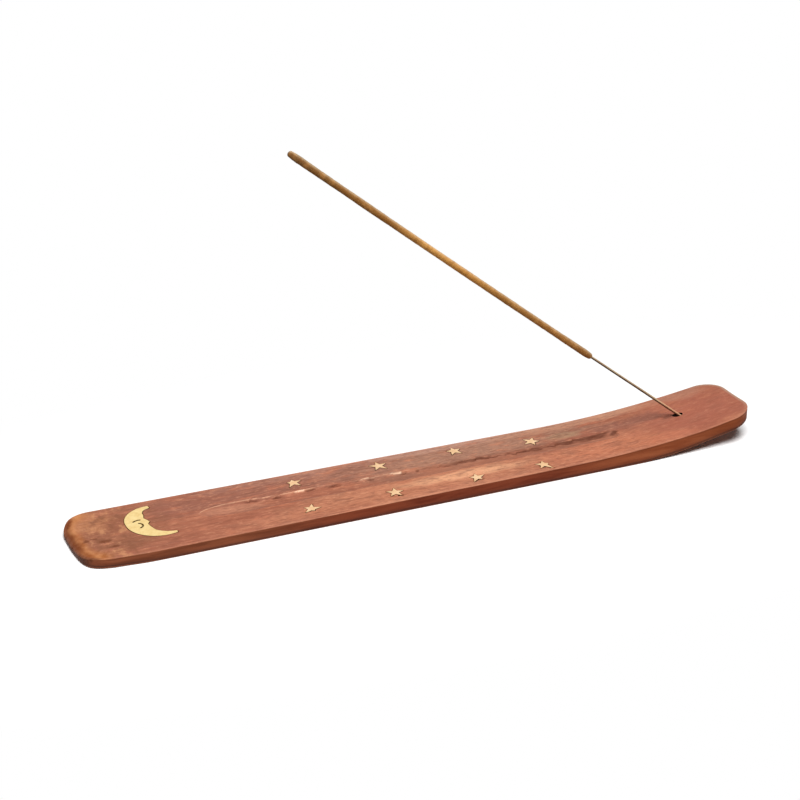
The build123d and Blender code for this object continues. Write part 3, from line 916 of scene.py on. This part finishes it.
def groove_colour(tree, grain, colour):
    """A groove browner by the tip, and a torn far lip with pale splinters and dark pits. The pale lip and
    splinters are torn fibres with a painted highlight, the dark lip and pits are dirt with painted shade, and
    the crack and the tip end get painted shade.
    """
    fibre = grain["fibre"]
    to_tip = tree.remap(tree.along, 98, 146)
    deep = tree.remap(tree.mark("groove"), 0.05, 0.5)
    colour = tree.tint(colour, GROOVE_TONE, deep, tree.remap(to_tip, 0, 1, 0.15, 0.55))
    torn = tree.remap(fibre, 0.35, 0.6, 0.1, 0.75)
    whole = tree.remap(tree.zone(*WHOLE_LIP), 0, 1, 1.0, 0.15)
    # Far lip: pale torn fibres with a painted highlight by the foot, dirt with painted shade by the tip
    colour = tree.tint(colour, tree.mix(to_tip, *LIP_HIGHLIGHT_AND_SHADE_TONES), tree.mark("lip"), torn, whole)
    # Dark pits: dirt, with painted shade of the groove's far wall
    colour = tree.tint(colour, PIT_DIRT_AND_SHADE_TONE, tree.mark("pit"), tree.remap(fibre, 0.3, 0.6, 0.95, 0.55))
    # Painted shade along the crack and in the groove's steep tip end
    colour = tree.patches(colour, GROOVE_SHADE_PATCHES, tree.swing(fibre, 1.2))
    # Splinters: pale torn fibres with a painted highlight
    pale = tree.remap(grain["streak"], 0.3, 0.6, 0.6, 1.0)
    return tree.tint(colour, SPLINTER_HIGHLIGHT_TONE, tree.mark("splinter"), pale, 0.9)


def foot_colour(tree, grain, colour):
    """The sanded foot end: an orange band, scorched at its edge, painted shade along the rim by its near
    corner, and dark flecks.
    """
    inset, along, blotch = tree.mark("inset"), tree.along, grain["blotch"]
    ragged = tree.swing(blotch, 2.6)
    edge = tree.math("ADD", inset, tree.times(ragged, 1.2))
    sanded = tree.mix(tree.remap(blotch, 0.3, 0.66), *SANDED_TONES)
    colour = tree.tint(colour, sanded, tree.remap(edge, 6, 2), tree.remap(along, 12, 6.5), 0.75)
    by_far = tree.remap(tree.across, -11, -3, 0.35, 0.85)
    colour = tree.tint(colour, SCORCH_TONE, tree.remap(edge, 3.6, 1), tree.remap(along, 6, 3), by_far)
    # Painted shade along the foot end's rim, by its near corner
    by_near = tree.remap(tree.across, 9, 5, 0, 0.7)
    colour = tree.tint(colour, FOOT_RIM_SHADE_TONE, tree.remap(inset, 1, 0.3), tree.remap(along, 7.5, 4.5), by_near)
    return tree.patches(colour, FOOT_FLECKS, ragged)


def edge_colour(tree, grain, colour):
    """A light rim, worn and with a painted highlight along its rounded edge, and a pale eased rim at the tip,
    end grain with a painted highlight.
    """
    inset, along = tree.mark("inset"), tree.along
    # Worn rim, lightened further by a painted highlight
    worn = tree.remap(inset, 1.2, 0.25), tree.remap(grain["streak"], 0.3, 0.6, 0.05, 0.34)
    by_ends = tree.remap(along, 40, 90, 0.5, 1), tree.remap(along, 190, 225, 1, 0.45)
    colour = tree.tint(colour, WORN_RIM_HIGHLIGHT_TONE, *worn, *by_ends)
    # The tip's eased rim: end grain with a painted highlight
    to_tip = tree.remap(along, BOARD_LENGTH - 13, BOARD_LENGTH - 4)
    by_far = tree.remap(tree.across, -12, -4, 0.1, 0.8)
    return tree.tint(colour, TIP_RIM_HIGHLIGHT_TONE, tree.remap(inset, 1.7, 0.6), to_tip, by_far)


def wall_colour(tree, grain, colour):
    """The wall: tan by the foot, redder, then orange by the tip, with a painted shadow under the rim by the
    tip, darker low down, a painted contact shadow along its bottom, and painted shade on the foot end's wall.
    """
    wall, along = tree.mark("wall"), tree.along
    streaks = tree.remap(grain["streak"], *SURFACE_NOISE)
    side, middle, tip = [tree.mix(streaks, *tones) for tones in WALL_TONES]
    side = tree.tint(side, middle, tree.remap(along, 50, 100))
    side = tree.tint(side, tip, tree.remap(along, 160, 215))
    side = tree.tint(side, WALL_END_TONE, tree.remap(along, 222, 240, 0.0, 0.35))
    # Painted shadow under the rim, at the top of the wall by the tip
    side = tree.tint(side, RIM_SHADOW_TONE, tree.remap(wall, 0.2, 0.06), tree.remap(along, 150, 180), 0.4)
    # Darker low down, a painted contact shadow along the bottom, and painted shade on the foot end's wall
    side = tree.layers(side, {"wall": wall, "along": along}, WALL_SHADE_LAYERS)
    return tree.tint(colour, side, tree.remap(wall, 0.0, 0.04))


def wood_material():
    """Oiled reddish hardwood: a patchy top with a painted stick shadow, darker walls with painted shade, a
    plain underside, and a hole painted near black as shade.
    """
    tree = material_tree("oiled_hardwood")
    grain = wood_grain(tree)
    colour = top_colour(tree, grain)
    for part_colour in (groove_colour, foot_colour, edge_colour):
        colour = part_colour(tree, grain, colour)
    pore = tree.remap(grain["pore"], 0.37, 0.28)
    colour = tree.tint(colour, PORE_TONE, pore, 0.35)
    # Dark filler round the inlays, deepened as painted shade
    colour = tree.tint(colour, MOAT_FILL_AND_SHADE_TONE, tree.mark("moat"), 0.62)
    colour = wall_colour(tree, grain, colour)
    plain = tree.mix(tree.remap(grain["streak"], *SURFACE_NOISE), *UNDER_TONES)
    colour = tree.tint(colour, plain, tree.mark("under"))
    # Painted shadow of the incense stick beside the hole
    colour = tree.patches(colour, STICK_SHADOW_PATCHES, tree.times(grain["fibre"], 0.5))
    relief = tree.times(tree.math("SUBTRACT", grain["fibre"], pore), 0.5)
    # Painted shade: the hole's walls near black
    colour = tree.tint(colour, HOLE_SHADE_TONE, tree.mark("hole_shade"))
    gloss = {"Specular IOR Level": 0.1}
    return tree.surface(colour, grain["streak"], (0.66, 0.52), relief, (0.35, 0.00025), gloss)


# Brass colours from dull to bright: the moon is yellower than the stars
MOON_TONES = (0.3, (237, 203, 132)), (0.5, (245, 215, 146)), (0.7, (251, 224, 158))
STAR_TONES = (0.3, (233, 186, 136)), (0.5, (243, 201, 152)), (0.7, (248, 209, 165))
ENGRAVED_TONE, ENGRAVED_DEPTHS = (104, 82, 36), (0.03, 0.12)


def brass_material(name, tones):
    """Sanded brass: pale gold, finely scratched, darker in its engraving and on its edges."""
    tree = material_tree(name)
    scratch = tree.noise(tree.place, (0.6, 9.0, 9.0), roughness=0.6)
    colour = tree.ramp(tree.noise(tree.place, (0.5, 0.5, 0.5)), tones)
    top = tree.math("ADD", tree.times(tree.along, TOP_SLOPE), FOOT_THICKNESS)
    deep = tree.remap(tree.math("SUBTRACT", top, tree.height), *ENGRAVED_DEPTHS)
    colour = tree.tint(colour, ENGRAVED_TONE, deep, 0.9)
    return tree.surface(colour, scratch, (0.28, 0.42), scratch, (0.25, 0.00005), {"Metallic": 1.0})


# Paste colours from its tip to its foot, and its layers
PASTE_TONES = (
    (0.0, (118, 82, 46)), (0.08, (121, 83, 42)), (0.2, (138, 93, 44)), (0.32, (150, 101, 48)),
    (0.44, (204, 148, 78)), (0.55, (188, 131, 63)), (0.72, (158, 110, 56)), (0.88, (156, 105, 52)),
    (1.0, (139, 92, 46)),
)
PASTE_LAYERS = (
    ("band", 0.5, 0.34, 0.4, (132, 80, 30)), ("band", 0.52, 0.68, 0.35, (196, 138, 78)),
    ("speck", 0.5, 0.3, 0.35, (140, 88, 36)), ("speck", 0.55, 0.72, 0.3, (236, 186, 124)),
    ("grain", 0.45, 0.1, 0.35, (118, 72, 32)),
)
# Painted highlight on the paste's upper side
LIT_TOP_TONE = (243, 225, 188)


def paste_material():
    """Rolled incense paste of golden brown grains, darker at both ends, with a painted highlight on its upper
    side.
    """
    tree = material_tree("incense_paste")
    speck = tree.noise(tree.place, (2.6, 2.6, 2.6), roughness=0.7)
    band_noise = tree.noise(tree.place, (0.32, 0.32, 0.32), detail=2.0)
    foot = HOLE_ALONG - BARE_LENGTH * cos(STICK_ANGLE)
    tip = foot - PASTE_LENGTH * cos(STICK_ANGLE)
    share = tree.add("MapRange", {"Value": tree.along, "From Min": tip, "From Max": foot})
    values = {"band": band_noise, "speck": speck, "grain": tree.mark("grain")}
    colour = tree.layers(tree.ramp(share, PASTE_TONES), values, PASTE_LAYERS)
    # Painted highlight on the paste's upper side
    colour = tree.tint(colour, LIT_TOP_TONE, tree.mark("powder"), 0.28)
    dust = {"Specular IOR Level": 0.1, "Sheen Weight": 0.35, "Sheen Roughness": 0.25}
    return tree.surface(colour, speck, (0.95, 0.8), speck, (0.4, 0.0001), dust)


# Bamboo colours: its fibres, layers by its clouds and its distance from the hole, the orange near the hole a
# painted highlight, and its brown outer layer far from and near the hole, on its lower side and also painted
# shade there
BAMBOO_TONES = (0.15, (136, 110, 80)), (0.5, (196, 168, 130)), (0.85, (226, 204, 168))
BAMBOO_LAYERS = (
    ("cloud", 0.35, 0.65, 0.5, (166, 120, 84)), ("hole", 9, 14, 0.4, (120, 98, 78)),
    # Painted highlight: orange on the stick near the hole
    ("hole", 11, 6, 0.4, (232, 160, 124)),
)
SHADED_BARK_TONES = (70, 48, 34), (66, 28, 13)


def bamboo_material():
    """Split bamboo: tan fibres with darker lines, its brown outer layer on its lower side, deepened there as
    painted shade, and a painted orange highlight near the hole.
    """
    tree = material_tree("split_bamboo")
    fibre = tree.mark("fibre")
    cloud = tree.noise(tree.place, (0.12, 0.8, 0.12))
    from_hole = tree.math("SUBTRACT", HOLE_ALONG, tree.along)
    colour = tree.layers(tree.ramp(fibre, BAMBOO_TONES), {"cloud": cloud, "hole": from_hole}, BAMBOO_LAYERS)
    # The brown outer layer on the lower side, also painted shade there
    shaded_bark = tree.mix(tree.remap(from_hole, 12, 8), *SHADED_BARK_TONES)
    colour = tree.tint(colour, shaded_bark, tree.mark("skin"), 0.85)
    return tree.surface(colour, cloud, (0.7, 0.5), fibre, (0.3, 0.00008), {"Specular IOR Level": 0.2})


# Scene


def sees_backdrop(tree):
    """1 for rays that should find the white backdrop: the camera's, and those of gloss and glass."""
    path = tree.add("LightPath", {}).node.outputs
    share = tree.math("MAXIMUM", path["Is Camera Ray"], path["Is Glossy Ray"])
    return tree.math("MAXIMUM", share, path["Is Transmission Ray"])


def build_floor():
    """A wide pale floor that shows white where no shadow falls."""
    size = FLOOR_SIZE
    mesh = bpy.data.meshes.new("floor")
    corners = [(-size, -size, 0), (size, -size, 0), (size, size, 0), (-size, size, 0)]
    mesh.from_pydata(corners, [], [(0, 1, 2, 3)])
    floor = add_object("floor", mesh)
    tree = Tree(bpy.data.materials.new("white_floor"))
    away = tree.length(tree.vector("MULTIPLY", tree.add("TexCoord", {}, "Object"), FLOOR_SQUEEZE))
    lift = tree.add("Emission", {"Color": WHITE, "Strength": FLOOR_LIFT})
    near = tree.add("AddShader", {0: tree.add("BsdfDiffuse", {"Color": WHITE}), 1: lift})
    far = tree.add("Emission", {"Color": WHITE, "Strength": 1.0})
    seen = tree.add("MixShader", {0: tree.remap(away, *FLOOR_FADE), 1: near, 2: far})
    bounce = tree.add("BsdfDiffuse", {"Color": GREY})
    floor_shader = tree.add("MixShader", {0: sees_backdrop(tree), 1: bounce, 2: seen})
    mesh.materials.append(tree.finish(floor_shader))


def build_light():
    """One softbox above and in front, and an even pale world."""
    lamp = bpy.data.lights.new("softbox", "AREA")
    lamp.energy, lamp.size = KEY_POWER, KEY_SIZE
    key = add_object("softbox", lamp)
    key.location = KEY_PLACE
    key.rotation_euler = (-KEY_PLACE).to_track_quat("-Z", "Y").to_euler()
    world = bpy.data.worlds.new("studio")
    bpy.context.scene.world = world
    tree = Tree(world)
    strength = tree.math("ADD", tree.times(sees_backdrop(tree), 1.0 - AMBIENT), AMBIENT)
    tree.finish(tree.add("Background", {"Color": WHITE, "Strength": strength}), "World")


def build_camera():
    """The camera at the photograph's place and angle."""
    data = bpy.data.cameras.new("camera")
    data.sensor_width, data.lens = SENSOR, LENS
    camera = add_object("camera", data)
    turn = Euler((pi / 2 - CAMERA_DOWN, 0, -CAMERA_ASIDE)).to_matrix()
    camera.matrix_world = Matrix.Translation(CAMERA_PLACE * MM) @ turn.to_4x4()
    bpy.context.scene.camera = camera


def dress(piece, material, body, node):
    """Gives a new piece its material and puts it in the place of its CAD node."""
    piece.data.materials.append(material)
    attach(piece, body)
    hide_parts(node)


dress(build_board(), wood_material(), "holder", "board")
dress(build_paste(), paste_material(), "incense_stick", "incense_paste")
dress(build_core(), bamboo_material(), "incense_stick", "bamboo_core")
moon_brass = brass_material("moon_brass", MOON_TONES)
star_brass = brass_material("star_brass", STAR_TONES)
for name in INLAYS:
    for material_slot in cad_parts[name].material_slots:
        material_slot.material = moon_brass if "moon" in name else star_brass

build_floor()
build_light()
build_camera()
bpy.context.scene.view_settings.view_transform = "Standard"
